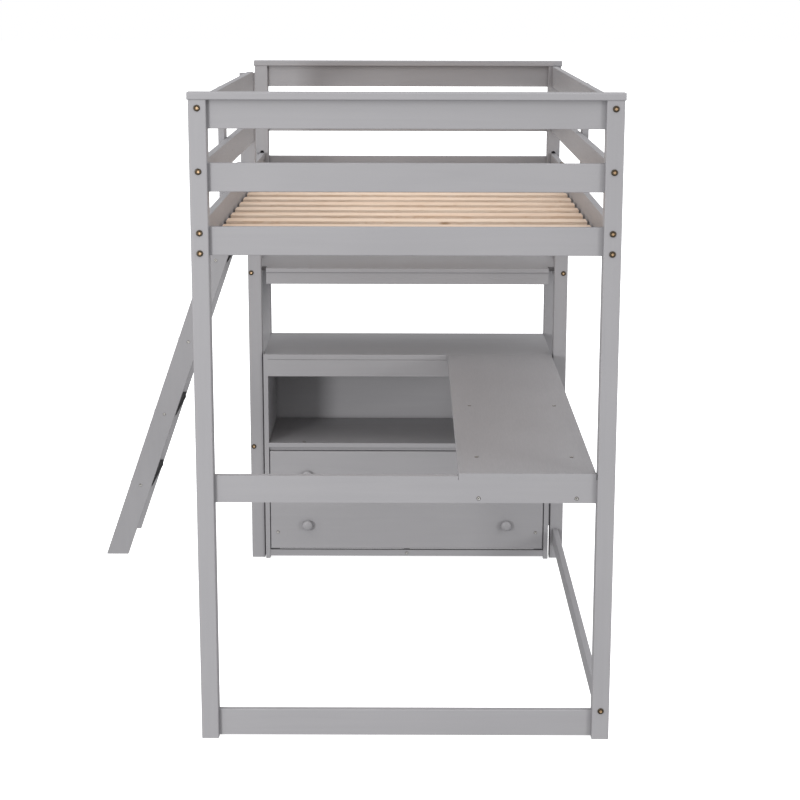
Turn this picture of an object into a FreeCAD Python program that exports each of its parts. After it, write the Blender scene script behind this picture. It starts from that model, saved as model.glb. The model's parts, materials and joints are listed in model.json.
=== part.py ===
import FreeCAD, Part
import os
import math
import Sketcher

# Loft bed with a desk, a drawer cabinet, an open shelf and a leaning ladder.
# Frame: +Z up, +X toward the desk side, -X toward the ladder, -Y the near end
# with no cabinet. The origin is on the floor under the middle of the overall
# box, ladder included. The rules below measure X from the middle of the four
# corner posts; place() moves every piece across from there. Every length is
# in millimetres.

os.makedirs("parts", exist_ok=True)
doc = FreeCAD.newDocument("LoftBed")
sheet = doc.addObject("Spreadsheet::Sheet", "Dims")

DIMENSIONS = [
    # bed frame
    ("outer_width", 1055, "over the corner posts"),
    ("outer_length", 1987, "over the corner posts"),
    ("post_side", 44, "square post section"),
    ("post_high", 1641, "corner post, under the cap"),
    ("post_ease", 3, "edge radius of the posts"),
    ("cap_thick", 18, "cap board on each end frame"),
    ("cap_lip", 2.5, "cap overhang past the posts"),
    ("rail_thick", 18, "all horizontal rails"),
    ("rail_high", 70, "end rails and guard rails"),
    ("board_ease", 2, "edge radius of rails and boards"),
    ("top_rail_low", 1571, "underside of the top rails"),
    ("second_rail_low", 1418, "underside of the second rails"),
    ("bed_end_low", 1262, "underside of the bed end rails"),
    ("desk_rail_low", 632, "underside of the desk-height end rails"),
    ("foot_rail_low", 5, "underside of the foot rails"),
    ("bed_side_low", 1243, "underside of the bed side rails"),
    ("bed_side_high", 100, "height of the bed side rails"),
    ("mid_post_front", 1554, "near face of the bed to the mid posts"),
    ("mid_right_out", 3.5, "right mid post stands outside the corner posts' line"),
    ("gate_front", 1508, "near face of the bed to the gate post"),
    ("gate_high", 1636, "top of the gate post"),
    ("gate_proud", 3, "gate post past the inner face of the guards"),
    ("stile_wide", 70, "guard stiles"),
    ("stile_low", 1253, "underside of the guard stiles"),
    ("stile_top", 1632, "top of the guard stiles"),
    ("back_rail_low", 52, "underside of the low back rail"),
    ("back_rail_high", 52, "height of the low back rail"),
    # mattress base
    ("slat_count", 14, "slats"),
    ("slat_wide", 65, "slat width"),
    ("slat_thick", 18, "slat thickness"),
    ("slat_pitch", 130, "slat to slat"),
    ("slat_low", 1267, "underside of the slats"),
    ("slat_play", 6, "slat end to side rail"),
    ("slat_ease", 1, "edge radius of the slats"),
    ("ledger_wide", 20, "ledger across"),
    ("ledger_high", 18, "ledger height"),
    ("ledger_start", 112, "ledger from each end of the bed"),
    # cabinet
    ("cabinet_front", 1542, "near face of the bed to the cabinet front"),
    ("cabinet_back", 1922, "near face of the bed to the cabinet back"),
    ("cabinet_wide", 960.5, "over the side panels"),
    ("cabinet_shift", 0.25, "cabinet middle, across the bed"),
    ("cabinet_top", 709, "top face of cabinet and desk"),
    ("panel_thick", 15, "cabinet panels and drawer fronts"),
    ("top_thick", 18, "cabinet top board"),
    ("back_thick", 5, "cabinet back panel"),
    ("back_low", 20, "underside of the back panel"),
    ("apron_high", 57, "cabinet apron"),
    ("cubby_floor", 405, "top of the cubby shelf"),
    ("cubby_thick", 16, "cubby shelf"),
    ("kick_low", 8, "underside of the kick rail"),
    ("kick_high", 22, "kick rail"),
    ("kick_inset", 2, "kick rail behind the cabinet front"),
    ("centre_bar_wide", 20, "bar on the floor behind the kick rail"),
    ("stretcher_high", 10, "stretcher under the cubby shelf"),
    ("stretcher_deep", 18, "stretcher under the cubby shelf"),
    ("stretcher_inset", 7, "stretcher behind the cabinet front"),
    ("stretcher_screw_spread", 694, "between the stretcher's screws"),
    ("side_rail_pair_low", 355, "lower cabinet side rails"),
    ("side_rail_pair_upper", 947, "upper cabinet side rails"),
    ("side_rail_pair_inset", 2, "cabinet side rails inside the posts' outer faces"),
    # upper open shelf
    ("shelf_top", 997, "top face of the open shelf"),
    ("shelf_thick", 14, "open shelf board"),
    ("shelf_low", 944, "underside of the shelf apron"),
    ("shelf_inset", 4, "shelf apron behind the board edge"),
    ("shelf_slot", 16, "gap between shelf and each mid post"),
    ("shelf_play", 0.5, "shelf to the side rails"),
    ("shelf_back", 1940, "near face of the bed to the shelf's far edge"),
    ("cleat_thick", 16, "shelf cleats"),
    ("cleat_high", 25, "shelf cleats"),
    # drawers
    ("front_wide", 926.5, "drawer front"),
    ("front_high", 169.5, "drawer front"),
    ("front_ease", 5, "rounded rim of the drawer fronts"),
    ("lower_front_low", 34, "underside of the lower drawer front"),
    ("upper_front_low", 207.5, "underside of the upper drawer front"),
    ("drawer_side_thick", 12, "drawer box sides"),
    ("drawer_side_high", 100, "drawer box sides"),
    ("drawer_side_rise", 9, "box sides above the front's lower edge"),
    ("drawer_side_deep", 350, "drawer box behind the front"),
    ("drawer_wide", 888, "over the box sides"),
    ("drawer_floor_rise", 4, "drawer floor above the box sides' foot"),
    ("drawer_floor_thick", 5, "drawer floor"),
    ("runner_play", 0.3, "drawer box above its runners"),
    ("runner_wide", 31, "drawer runners"),
    ("runner_high", 14, "drawer runners"),
    ("runner_start", 18, "runners behind the cabinet front"),
    ("knob_spread", 673, "between the knobs of a drawer"),
    ("knob_rise", 1.5, "knobs above the middle of the front"),
    ("knob_size", 34, "knob diameter"),
    ("knob_neck", 16, "knob neck diameter"),
    ("knob_long", 25, "knob out from the front"),
    ("knob_neck_long", 10, "knob neck, out from the front"),
    ("knob_cheek", 29, "knob diameter where the flare and the crown begin"),
    ("knob_flare_end", 12, "end of the flare, out from the front"),
    ("knob_wide_start", 15, "start of the widest band"),
    ("knob_wide_end", 19, "end of the widest band"),
    ("knob_crown_start", 22.7, "start of the crown"),
    ("knob_crown", 17, "flat crown diameter"),
    ("knob_hole_deep", 14, "screw hole in a knob"),
    # desk
    ("desk_left", 133.5, "inner edge of the desk"),
    ("desk_wide", 348, "desk, across the bed"),
    ("desk_thick", 16, "desk board"),
    ("desk_play", 1, "desk board to its neighbours"),
    ("beam_thick", 20, "desk beams"),
    ("beam_high", 59, "desk beams"),
    ("beam_inner", 184.4, "middle of the inner desk beam"),
    ("beam_outer", 432.4, "middle of the outer desk beam"),
    ("desk_screw_first", 181, "near face of the bed to the first screws"),
    ("desk_screw_pitch", 602, "between the two rows of desk screws"),
    ("beam_screw_level", 644, "end screws of the beams"),
    # ladder
    ("ladder_front", 1586, "near face of the bed to the ladder"),
    ("ladder_wide", 325, "over the stringers"),
    ("stringer_thick", 20, "stringers"),
    ("stringer_run", 73.5, "level width of a stringer"),
    ("ladder_foot", 957.5, "inner edge of the ladder foot from the middle"),
    ("ladder_slope", 0.351, "run over rise"),
    ("seat_low", 1244, "underside of the ladder's seat on the rail"),
    ("seat_screw_rise", 30, "first seat screw above the seat"),
    ("seat_screw_gap", 45, "between seat screws"),
    ("seat_gap", 0.5, "ladder to the bed side rail and mid post"),
    ("tread_deep", 73, "treads"),
    ("tread_thick", 20, "treads"),
    ("grip_thick", 1, "grip strip on each tread"),
    ("grip_wide", 25, "grip strip over the top of a tread"),
    ("grip_drop", 18, "grip strip down the inner edge of a tread"),
    ("tread_one", 245, "middle of the first tread"),
    ("tread_two", 493, "middle of the second tread"),
    ("tread_three", 742, "middle of the third tread"),
    ("tread_four", 1018, "middle of the fourth tread"),
    # hardware
    ("bolt_size", 8, "frame bolt shank"),
    ("bolt_bore", 8.6, "hole for a frame bolt"),
    ("bolt_head", 16, "frame bolt head"),
    ("head_thick", 3, "frame bolt head"),
    ("head_round", 1.2, "rounded rim of a bolt head"),
    ("socket_size", 6, "hexagon socket across the flats"),
    ("socket_deep", 2.2, "hexagon socket"),
    ("bolt_grip", 40, "bolt beyond the post"),
    ("nut_size", 13, "barrel nut"),
    ("nut_bore", 13.6, "hole for a barrel nut"),
    ("nut_set", 28, "barrel nut from the rail end"),
    ("nut_long", 17, "barrel nut"),
    ("drop_nut_long", 34, "barrel nut across a mid post"),
    ("guard_bolt_rise", 50, "guard bolt above the rail's underside"),
    ("bed_bolt_rise", 25, "lower bed bolt above the rail's underside"),
    ("bed_bolt_gap", 50, "between the two bed bolts"),
    ("pair_bolt_rise", 35, "side rail bolt above the rail's underside"),
    ("back_bolt_rise", 26, "back rail bolt above the rail's underside"),
    ("drop_bolt_bite", 45, "mid post bolt inside the post"),
    ("rest_hole", 15, "blind hole in the far posts above the bed side rails"),
    ("rest_hole_deep", 25, "blind hole in the far posts"),
    ("rest_hole_rise", 1, "blind hole above the bed side rail's top"),
    ("screw_size", 4, "wood screw shank"),
    ("screw_bore", 4.4, "hole for a wood screw"),
    ("screw_head", 10, "wood screw head"),
    ("screw_head_thick", 1.2, "wood screw head"),
    ("screw_long", 36, "wood screw shank"),
    ("screw_stop", 2, "long screw points short of the far face"),
    ("overrun", 1, "drilled depth past a fastener or a face"),
]

for row, (alias, value, note) in enumerate(DIMENSIONS, start=1):
    sheet.set(f"A{row}", alias)
    sheet.set(f"B{row}", str(value))
    sheet.set(f"C{row}", note)
    sheet.setAlias(f"B{row}", alias)
doc.recompute()

PARTS = {}


def dim(alias):
    """Number held by a cell of the sheet."""
    return float(getattr(sheet, alias))


def bind(obj, prop, rule):
    """Drive a property from the sheet; @name stands for a cell."""
    obj.setExpression(prop, rule.replace("@", "Dims."))


def place(obj, x, y, z):
    """Set a piece down, with X counted from the middle of the corner posts."""
    bind(obj, "Placement.Base.x", f"({x}) + {CENTRE_SHIFT}")
    bind(obj, "Placement.Base.y", y)
    bind(obj, "Placement.Base.z", z)


# half of what the ladder side reaches out further than the desk side
LEFT_REACH = "(@ladder_foot + @stringer_run)"
RIGHT_REACH = "(@outer_width / 2 - @post_side / 2 + 1.5 * @rail_thick + @screw_head_thick)"
CENTRE_SHIFT = f"({LEFT_REACH} - {RIGHT_REACH}) / 2"


def keep(label, obj):
    """File a finished sub-part under its own name."""
    obj.Label = label
    PARTS[label] = obj
    return obj


def near(distance):
    """Y rule of a point at a distance from the near face of the bed."""
    return f"({distance}) - @outer_length / 2"


# ---- named positions used by more than one piece -------------------------
POST_X = "(@outer_width / 2 - @post_side / 2)"
INNER_X = "(@outer_width / 2 - @post_side)"
RAIL_OUT_X = f"({POST_X} + @rail_thick / 2)"
RAIL_IN_X = f"({POST_X} - @rail_thick / 2)"
END_RAIL_Y = "(@post_side - @rail_thick) / 2"
FAR_FACE = "@outer_length"
FAR_POST = "@outer_length - @post_side"
CAB_LEFT = "(@cabinet_shift - @cabinet_wide / 2)"
CAB_IN_LEFT = f"({CAB_LEFT} + @panel_thick)"
CAB_IN_WIDE = "(@cabinet_wide - 2 * @panel_thick)"
PANEL_TOP = "(@cabinet_top - @top_thick)"
DESK_FLOOR = "(@cabinet_top - @desk_thick)"
PAIR_X = "(@outer_width / 2 - @side_rail_pair_inset - @rail_thick / 2)"
PAIR_IN_X = "(@outer_width / 2 - @side_rail_pair_inset - @rail_thick)"
NECK_X = "@knob_spread / 2"
KNOB_RISE = "@front_high / 2 + @knob_rise"


# limits used when edges are picked out: cosine, and lengths in millimetres
PARALLEL = 0.999
SHORTEST_EASED = 20
SAME_PLANE = 0.01


# ---- makers -----------------------------------------------------------------
def eased(base, axis, radius):
    """Round the long edges of a box-like solid lying along an axis."""
    doc.recompute()
    ease = doc.addObject("Part::Fillet", base.Name + "_ease")
    ease.Base = base
    size = dim(radius)
    picked = []
    for number, edge in enumerate(base.Shape.Edges, start=1):
        if edge.Curve.TypeId != "Part::GeomLine":
            continue
        along = edge.Vertexes[-1].Point - edge.Vertexes[0].Point
        if abs(along.dot(axis)) > PARALLEL * along.Length and along.Length > SHORTEST_EASED:
            picked.append((number, size, size))
    ease.Edges = picked
    return ease


AXES = {
    "x": FreeCAD.Vector(1, 0, 0),
    "y": FreeCAD.Vector(0, 1, 0),
    "z": FreeCAD.Vector(0, 0, 1),
}
TURNS = {
    "x": FreeCAD.Rotation(AXES["y"], 90),
    "-x": FreeCAD.Rotation(AXES["y"], -90),
    "y": FreeCAD.Rotation(AXES["x"], -90),
    "-y": FreeCAD.Rotation(AXES["x"], 90),
    "z": FreeCAD.Rotation(),
    "-z": FreeCAD.Rotation(AXES["x"], 180),
}


def box(name, corner, size):
    """Plain block from a corner and three side rules."""
    block = doc.addObject("Part::Box", name)
    place(block, *corner)
    bind(block, "Length", size[0])
    bind(block, "Width", size[1])
    bind(block, "Height", size[2])
    return block


def bore(name, start, axis, size, depth):
    """Round cutter that begins at a point and runs along an axis."""
    tool = doc.addObject("Part::Cylinder", name)
    bind(tool, "Radius", f"{size} / 2")
    bind(tool, "Height", depth)
    tool.Placement = FreeCAD.Placement(FreeCAD.Vector(), TURNS[axis])
    place(tool, *start)
    return tool


def board(label, corner, size, long_axis, bores=(), ease="board_ease"):
    """Sawn board: block, drilled holes, then eased long edges."""
    solid = box(label + "_stock", corner, size)
    if bores:
        tools = [bore(f"{label}_bore{n}", *rule) for n, rule in enumerate(bores)]
        cutter = tools[0]
        if len(tools) > 1:
            cutter = doc.addObject("Part::MultiFuse", label + "_bores")
            cutter.Shapes = tools
        cut = doc.addObject("Part::Cut", label + "_drilled")
        cut.Base = solid
        cut.Tool = cutter
        solid = cut
    if ease:
        solid = eased(solid, AXES[long_axis], ease)
    return keep(label, solid)


def origin_plane(body, role):
    return [f for f in body.Origin.OriginFeatures if f.Role == role][0]


def sketch_on(body, role, name):
    sketch = body.newObject("Sketcher::SketchObject", name)
    sketch.AttachmentSupport = [(origin_plane(body, role), "")]
    sketch.MapMode = "FlatFace"
    return sketch


def outline(sketch, points):
    """Closed outline whose corners are set by pairs of rules."""
    count = len(points)
    for n in range(count):
        a = FreeCAD.Vector(10 * n, 7 * (n % 3), 0)
        b = FreeCAD.Vector(10 * n + 10, 7 * ((n + 1) % 3), 0)
        sketch.addGeometry(Part.LineSegment(a, b), False)
    for n in range(count):
        sketch.addConstraint(Sketcher.Constraint("Coincident", n, 2, (n + 1) % count, 1))
    for n, (across, up) in enumerate(points):
        pin(sketch, n, 1, across, up)


def pin(sketch, index, end, across, up):
    """Tie a sketch point to the origin by two driven distances."""
    for kind, rule in (("DistanceX", across), ("DistanceY", up)):
        here = sketch.addConstraint(Sketcher.Constraint(kind, -1, 1, index, end, 1.0))
        sketch.setExpression(f"Constraints[{here}]", rule.replace("@", "Dims."))


def circles(sketch, centres, size):
    for across, up in centres:
        here = sketch.addGeometry(
            Part.Circle(FreeCAD.Vector(), FreeCAD.Vector(0, 0, 1), 1.0), False)
        pin(sketch, here, 3, across, up)
        ring = sketch.addConstraint(Sketcher.Constraint("Diameter", here, 2.0))
        sketch.setExpression(f"Constraints[{ring}]", size.replace("@", "Dims."))


def pad(body, sketch, length, middle=False):
    solid = body.newObject("PartDesign::Pad", sketch.Name + "_pad")
    solid.Profile = sketch
    bind(solid, "Length", length)
    if middle:
        solid.SideType = "Symmetric"
    return solid


def drill_through(body, role, name, centres, size):
    """Holes straight through the body, square to an origin plane."""
    sketch = sketch_on(body, role, name)
    circles(sketch, centres, size)
    before = body.Shape.Volume
    cut = body.newObject("PartDesign::Pocket", name + "_cut")
    cut.Profile = sketch
    cut.Type = "ThroughAll"
    cut.SideType = "Symmetric"
    doc.recompute()
    if not body.Shape.Volume < before:
        raise RuntimeError(f"{name} cuts nothing")
    return cut


def ease_upright(body, name, radius):
    """Round the upright edges of a padded body."""
    doc.recompute()
    base = body.Tip
    picked = []
    for number, edge in enumerate(base.Shape.Edges, start=1):
        if edge.Curve.TypeId != "Part::GeomLine":
            continue
        along = edge.Vertexes[-1].Point - edge.Vertexes[0].Point
        if abs(along.z) > PARALLEL * along.Length and along.Length > SHORTEST_EASED:
            picked.append(f"Edge{number}")
    ease = body.newObject("PartDesign::Fillet", name)
    ease.Base = (base, picked)
    bind(ease, "Radius", radius)
    return ease


def post(label, x, y, height, holes):
    """Square post with bolt holes through it, front to back."""
    body = doc.addObject("PartDesign::Body", label + "_body")
    section = sketch_on(body, "XY_Plane", label + "_section")
    half = "@post_side / 2"
    outline(section, [
        (f"-{half}", f"-{half}"), (half, f"-{half}"), (half, half), (f"-{half}", half)])
    pad(body, section, height)
    ease_upright(body, label + "_ease", "@post_ease")
    drill_through(body, "XZ_Plane", label + "_holes", holes, "@bolt_bore")
    place(body, x, y, "0")
    return keep(label, body)


# ---- posts ------------------------------------------------------------------
SIDES = (("left", -1), ("right", 1))
GUARD_LEVELS = ["@top_rail_low + @guard_bolt_rise", "@second_rail_low + @guard_bolt_rise"]
BED_LEVELS = [
    "@bed_side_low + @bed_bolt_rise",
    "@bed_side_low + @bed_bolt_rise + @bed_bolt_gap",
]
BACK_LEVEL = "@back_rail_low + @back_bolt_rise"
PAIR_LEVELS = [
    "@side_rail_pair_low + @pair_bolt_rise",
    "@side_rail_pair_upper + @pair_bolt_rise",
]


def build_posts():
    for side, sign in SIDES:
        x = f"{sign} * {POST_X}"
        guards = [("0", level) for level in GUARD_LEVELS]
        bed = [("0", level) for level in BED_LEVELS]
        pairs = [(f"{sign} * ({PAIR_X} - {POST_X})", level) for level in PAIR_LEVELS]
        back = [("0", BACK_LEVEL)] if side == "right" else []
        post(f"near_{side}_post", x, near("@post_side / 2"), "@post_high",
             guards + bed + back)
        far_guards = guards if side == "right" else []
        far = post(f"far_{side}_post", x, near(f"{FAR_FACE} - @post_side / 2"), "@post_high",
                   far_guards + bed + pairs)
        rest_hole(far, side)
        mid_post(side, sign, x)


def mid_post(side, sign, x):
    """Post under the bed side rail, in front of the cabinet's side rails."""
    out = "@mid_right_out" if side == "right" else "0"
    pairs = [(f"{sign} * ({PAIR_X} - {POST_X}) - {out}", level) for level in PAIR_LEVELS]
    back = [(f"-{out}", BACK_LEVEL)] if side == "right" else []
    body = post(f"mid_{side}_post", f"{x} + {out}", near("@mid_post_front + @post_side / 2"),
                "@bed_side_low", pairs + back)
    drop_bolt_socket(body, side, f"-{out}")


def blind_hole(body, sketch, centre, size, depth):
    """One round hole of a set depth, cut against the sketch's normal."""
    circles(sketch, [centre], size)
    before = body.Shape.Volume
    cut = body.newObject("PartDesign::Pocket", sketch.Name + "_cut")
    cut.Profile = sketch
    bind(cut, "Length", depth)
    doc.recompute()
    if not body.Shape.Volume < before:
        raise RuntimeError(f"{sketch.Name} cuts nothing")


def rest_hole(body, side):
    """Blind hole in a far post's near face, just above the bed side rail."""
    sketch = sketch_on(body, "XZ_Plane", f"far_{side}_rest")
    bind(sketch, "AttachmentOffset.Base.z", "@post_side / 2")
    level = "@bed_side_low + @bed_side_high + @rest_hole_rise"
    blind_hole(body, sketch, ("0", level), "@rest_hole", "@rest_hole_deep")


def drop_bolt_socket(body, side, across):
    """Hole down the head of a mid post and its crossing nut hole."""
    name = f"mid_{side}_drop"
    drill_through(body, "YZ_Plane", name + "_nut",
                  [("0", "@bed_side_low - @nut_set")], "@nut_bore")
    sketch = sketch_on(body, "XY_Plane", name + "_hole")
    bind(sketch, "AttachmentOffset.Base.z", "@bed_side_low")
    blind_hole(body, sketch, (across, "0"), "@bolt_bore", "@drop_bolt_bite + 2 * @overrun")


def build_gate_post():
    """Post beside the ladder opening, halved around the bed side rail."""
    body = doc.addObject("PartDesign::Body", "gate_body")
    face = sketch_on(body, "XZ_Plane", "gate_face")
    half = "@post_side / 2"
    step = f"({half} - @rail_thick)"
    seat = "(@bed_side_low + @bed_side_high)"
    inner = f"({half} + @gate_proud)"
    outline(face, [
        (f"-{half}", "@bed_side_low"), (step, "@bed_side_low"), (step, seat),
        (inner, seat), (inner, "@gate_high"), (f"-{half}", "@gate_high")])
    pad(body, face, "@post_side", middle=True)
    ease_upright(body, "gate_ease", "@board_ease")
    hole = f"{half} - @rail_thick / 2"
    drill_through(body, "XZ_Plane", "gate_holes",
                  [(hole, level) for level in GUARD_LEVELS], "@bolt_bore")
    screws = [("0", level) for level in BED_LEVELS]
    drill_through(body, "YZ_Plane", "gate_screw_holes", screws, "@screw_bore")
    place(body, f"-{RAIL_IN_X} - {half}", near(f"@gate_front + {half}"), "0")
    keep("ladder_gate_post", body)


# ---- end frames -------------------------------------------------------------
END_RAILS = {
    "top_rail": "@top_rail_low",
    "second_rail": "@second_rail_low",
    "bed_end_rail": "@bed_end_low",
}


def end_board(label, low, front):
    return board(label, (f"-{INNER_X}", near(front), low),
                 (f"2 * {INNER_X}", "@rail_thick", "@rail_high"), "x")


def build_end_frames():
    near_front = END_RAIL_Y
    far_front = f"{FAR_POST} + {END_RAIL_Y}"
    for name, low in END_RAILS.items():
        end_board("near_" + name, low, near_front)
        end_board("far_" + name, low, far_front)
    end_board("near_foot_rail", "@foot_rail_low", near_front)
    lower = [end_board("far_desk_rail", "@desk_rail_low", far_front),
             end_board("far_foot_rail", "@foot_rail_low", far_front)]
    group("far_lower_rails", lower)
    caps = []
    for name, start in (("near", "0"), ("far", FAR_POST)):
        caps.append(board(
            f"{name}_cap",
            ("-@outer_width / 2 - @cap_lip", near(f"{start} - @cap_lip"), "@post_high"),
            ("@outer_width + 2 * @cap_lip", "@post_side + 2 * @cap_lip", "@cap_thick"),
            "x", ease="post_ease"))
    group("end_caps", caps)
    near_desk_rail()


def near_desk_rail():
    """End rail with a rebate that takes the near edge of the desk."""
    body = doc.addObject("PartDesign::Body", "near_desk_rail_body")
    face = sketch_on(body, "XZ_Plane", "near_desk_rail_face")
    start = "(@desk_left - @desk_play)"
    top = "(@desk_rail_low + @rail_high)"
    outline(face, [
        (f"-{INNER_X}", "@desk_rail_low"), (INNER_X, "@desk_rail_low"),
        (INNER_X, DESK_FLOOR), (start, DESK_FLOOR), (start, top), (f"-{INNER_X}", top)])
    pad(body, face, "@rail_thick", middle=True)
    doc.recompute()
    drill_through(body, "XZ_Plane", "near_desk_rail_holes",
                  [("@beam_inner", "@beam_screw_level"), ("@beam_outer", "@beam_screw_level")],
                  "@screw_bore")
    place(body, "0", near("@post_side / 2"), "0")
    keep("near_desk_rail", body)


def group(label, members):
    """One sub-part of several separate solids."""
    pack = doc.addObject("Part::Compound", label)
    pack.Links = members
    for member in members:
        PARTS.pop(member.Label, None)
    return keep(label, pack)


# ---- side rails and guards ---------------------------------------------------
def end_bores(x, start, stop, level, width):
    """Bolt hole and crossing nut hole at both ends of a rail along Y."""
    rules = []
    for end, axis, sign in ((start, "y", 1), (stop, "-y", -1)):
        if end is None:
            continue
        rules.append(((x, near(end), level), axis, "@bolt_bore", "@bolt_grip + 2 * @overrun"))
        rules.append(((f"{x} - {width} / 2 - @overrun", near(f"{end} + {sign} * @nut_set"), level),
                      "x", "@nut_bore", f"{width} + 2 * @overrun"))
    return rules


def side_board(label, sign, low, high, start, stop, levels, middle=POST_X, extra=()):
    x = f"({sign} * {middle})"
    bores = []
    for level in levels:
        bores += end_bores(x, start, stop, level, "@rail_thick")
    return board(label, (f"{x} - @rail_thick / 2", near(start), low),
                 ("@rail_thick", f"({stop}) - ({start})", high), "y", bores + list(extra))


def build_side_rails():
    for side, sign in SIDES:
        x = f"({sign} * {POST_X})"
        middle_y = near("@mid_post_front + @post_side / 2")
        top = "@bed_side_low + @bed_side_high"
        extra = [((x, middle_y, top), "-z", "@bolt_bore", "@bed_side_high + @overrun")]
        extra += screw_bores_in_bed_rail(side, sign)
        side_board(f"{side}_bed_side_rail", sign, "@bed_side_low", "@bed_side_high",
                   "@post_side", FAR_POST, BED_LEVELS, extra=extra)
        stop = "@gate_front" if side == "left" else FAR_POST
        stile_y = f"(({stop}) + @post_side) / 2"
        for name, low, level in (("top_guard", "@top_rail_low", GUARD_LEVELS[0]),
                                 ("second_guard", "@second_rail_low", GUARD_LEVELS[1])):
            hole = ((f"{x} - @rail_thick / 2 - @overrun", near(stile_y), f"{low} + @rail_high / 2"),
                    "x", "@screw_bore", "@rail_thick + 2 * @overrun")
            side_board(f"{side}_{name}", sign, low, "@rail_high", "@post_side", stop,
                       [level], extra=[hole])
        out = f"({sign} * {RAIL_OUT_X} + {min(sign, 0)} * @rail_thick)"
        holes = [((f"{out} - @overrun", near(stile_y), level), "x", "@screw_bore",
                  "@rail_thick + 2 * @overrun") for level in STILE_LEVELS]
        board(f"{side}_guard_stile", (out, near(f"{stile_y} - @stile_wide / 2"), "@stile_low"),
              ("@rail_thick", "@stile_wide", "@stile_top - @stile_low"), "z", holes)


STILE_LEVELS = [
    "@top_rail_low + @rail_high / 2",
    "@second_rail_low + @rail_high / 2",
    "@bed_side_low + @bed_side_high / 2",
]
LADDER_LEVELS = ["@seat_low + @seat_screw_rise", "@seat_low + @seat_screw_rise + @seat_screw_gap"]


def ladder_ys():
    return [near("@ladder_front + @stringer_thick / 2"),
            near("@ladder_front + @ladder_wide - @stringer_thick / 2")]


def screw_bores_in_bed_rail(side, sign):
    """Screw holes across a bed side rail: stile, gate post and ladder."""
    x = f"{sign} * {POST_X} - @rail_thick / 2 - @overrun"
    stop = "@gate_front" if side == "left" else FAR_POST
    spots = [(near(f"(({stop}) + @post_side) / 2"), STILE_LEVELS[2])]
    if side == "left":
        gate_y = near("@gate_front + @post_side / 2")
        spots += [(gate_y, level) for level in BED_LEVELS]
        spots += [(y, level) for y in ladder_ys() for level in LADDER_LEVELS]
    return [((x, y, z), "x", "@screw_bore", "@rail_thick + 2 * @overrun") for y, z in spots]


def build_low_rails():
    side_board("low_back_rail", 1, "@back_rail_low", "@back_rail_high", "@post_side",
               "@mid_post_front", [BACK_LEVEL])
    rails = []
    for side, sign in SIDES:
        for name, low in (("lower", "@side_rail_pair_low"), ("upper", "@side_rail_pair_upper")):
            rails.append(side_board(
                f"{name}_{side}_pair", sign, low, "@rail_high",
                "@mid_post_front + @post_side", FAR_POST, [f"{low} + @pair_bolt_rise"],
                middle=PAIR_X))
    group("cabinet_side_rails", rails)


# ---- mattress base -----------------------------------------------------------
def build_base():
    ledgers = []
    for side, sign in SIDES:
        inner = f"({sign} * {RAIL_IN_X} + {min(-sign, 0)} * @ledger_wide)"
        low = "@slat_low - @ledger_high"
        ledgers.append(board(f"{side}_ledger", (inner, near("@ledger_start"), low),
                             ("@ledger_wide", "@outer_length - 2 * @ledger_start", "@ledger_high"),
                             "y", ease=None))
    group("slat_ledgers", ledgers)
    slats = []
    count = int(dim("slat_count"))
    first = "(@outer_length - (@slat_count - 1) * @slat_pitch - @slat_wide) / 2"
    for n in range(count):
        slats.append(board(
            f"slat{n}",
            (f"-{RAIL_IN_X} + @slat_play", near(f"{first} + {n} * @slat_pitch"),
             "@slat_low"),
            (f"2 * ({RAIL_IN_X} - @slat_play)", "@slat_wide", "@slat_thick"), "x",
            ease="slat_ease"))
    group("bed_slats", slats)


# ---- open shelf above the cabinet ---------------------------------------------
def build_shelf():
    """Board whose front tongue passes between the mid posts, and its carriers."""
    body = doc.addObject("PartDesign::Body", "open_shelf_body")
    face = sketch_on(body, "XY_Plane", "open_shelf_face")
    tongue = f"({INNER_X} - @shelf_slot)"
    wing = f"({PAIR_IN_X} - @shelf_play)"
    step = "(@post_side + @overrun)"
    deep = "(@shelf_back - @mid_post_front)"
    outline(face, [
        (f"-{tongue}", "0"), (tongue, "0"), (tongue, step), (wing, step), (wing, deep),
        (f"-{wing}", deep), (f"-{wing}", step), (f"-{tongue}", step)])
    pad(body, face, "@shelf_thick")
    ease_front(body, "open_shelf_ease", "@board_ease")
    place(body, "0", near("@mid_post_front"), "@shelf_top - @shelf_thick")
    keep("open_shelf_board", body)
    board("open_shelf_apron",
          (f"-{tongue}", near("@mid_post_front + @shelf_inset"), "@shelf_low"),
          (f"2 * {tongue}", "@panel_thick", "@shelf_top - @shelf_thick - @shelf_low"), "x")
    cleats = []
    start = "(@mid_post_front + @post_side)"
    for side, sign in SIDES:
        x = f"({sign} * {PAIR_IN_X} + {min(-sign, 0)} * @cleat_thick)"
        cleats.append(board(
            f"{side}_cleat", (x, near(start), "@shelf_top - @shelf_thick - @cleat_high"),
            ("@cleat_thick", f"@shelf_back - {start}", "@cleat_high"), "y"))
    group("open_shelf_cleats", cleats)


def ease_front(body, label, radius):
    """Round the two long edges on the side of a padded body that faces -Y."""
    doc.recompute()
    base = body.Tip
    ease = body.newObject("PartDesign::Fillet", label)
    along_x = [name for name in front_rim_edges(base.Shape)
               if base.Shape.getElement(name).BoundBox.XLength > dim("shelf_thick")]
    ease.Base = (base, along_x)
    bind(ease, "Radius", radius)


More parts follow.
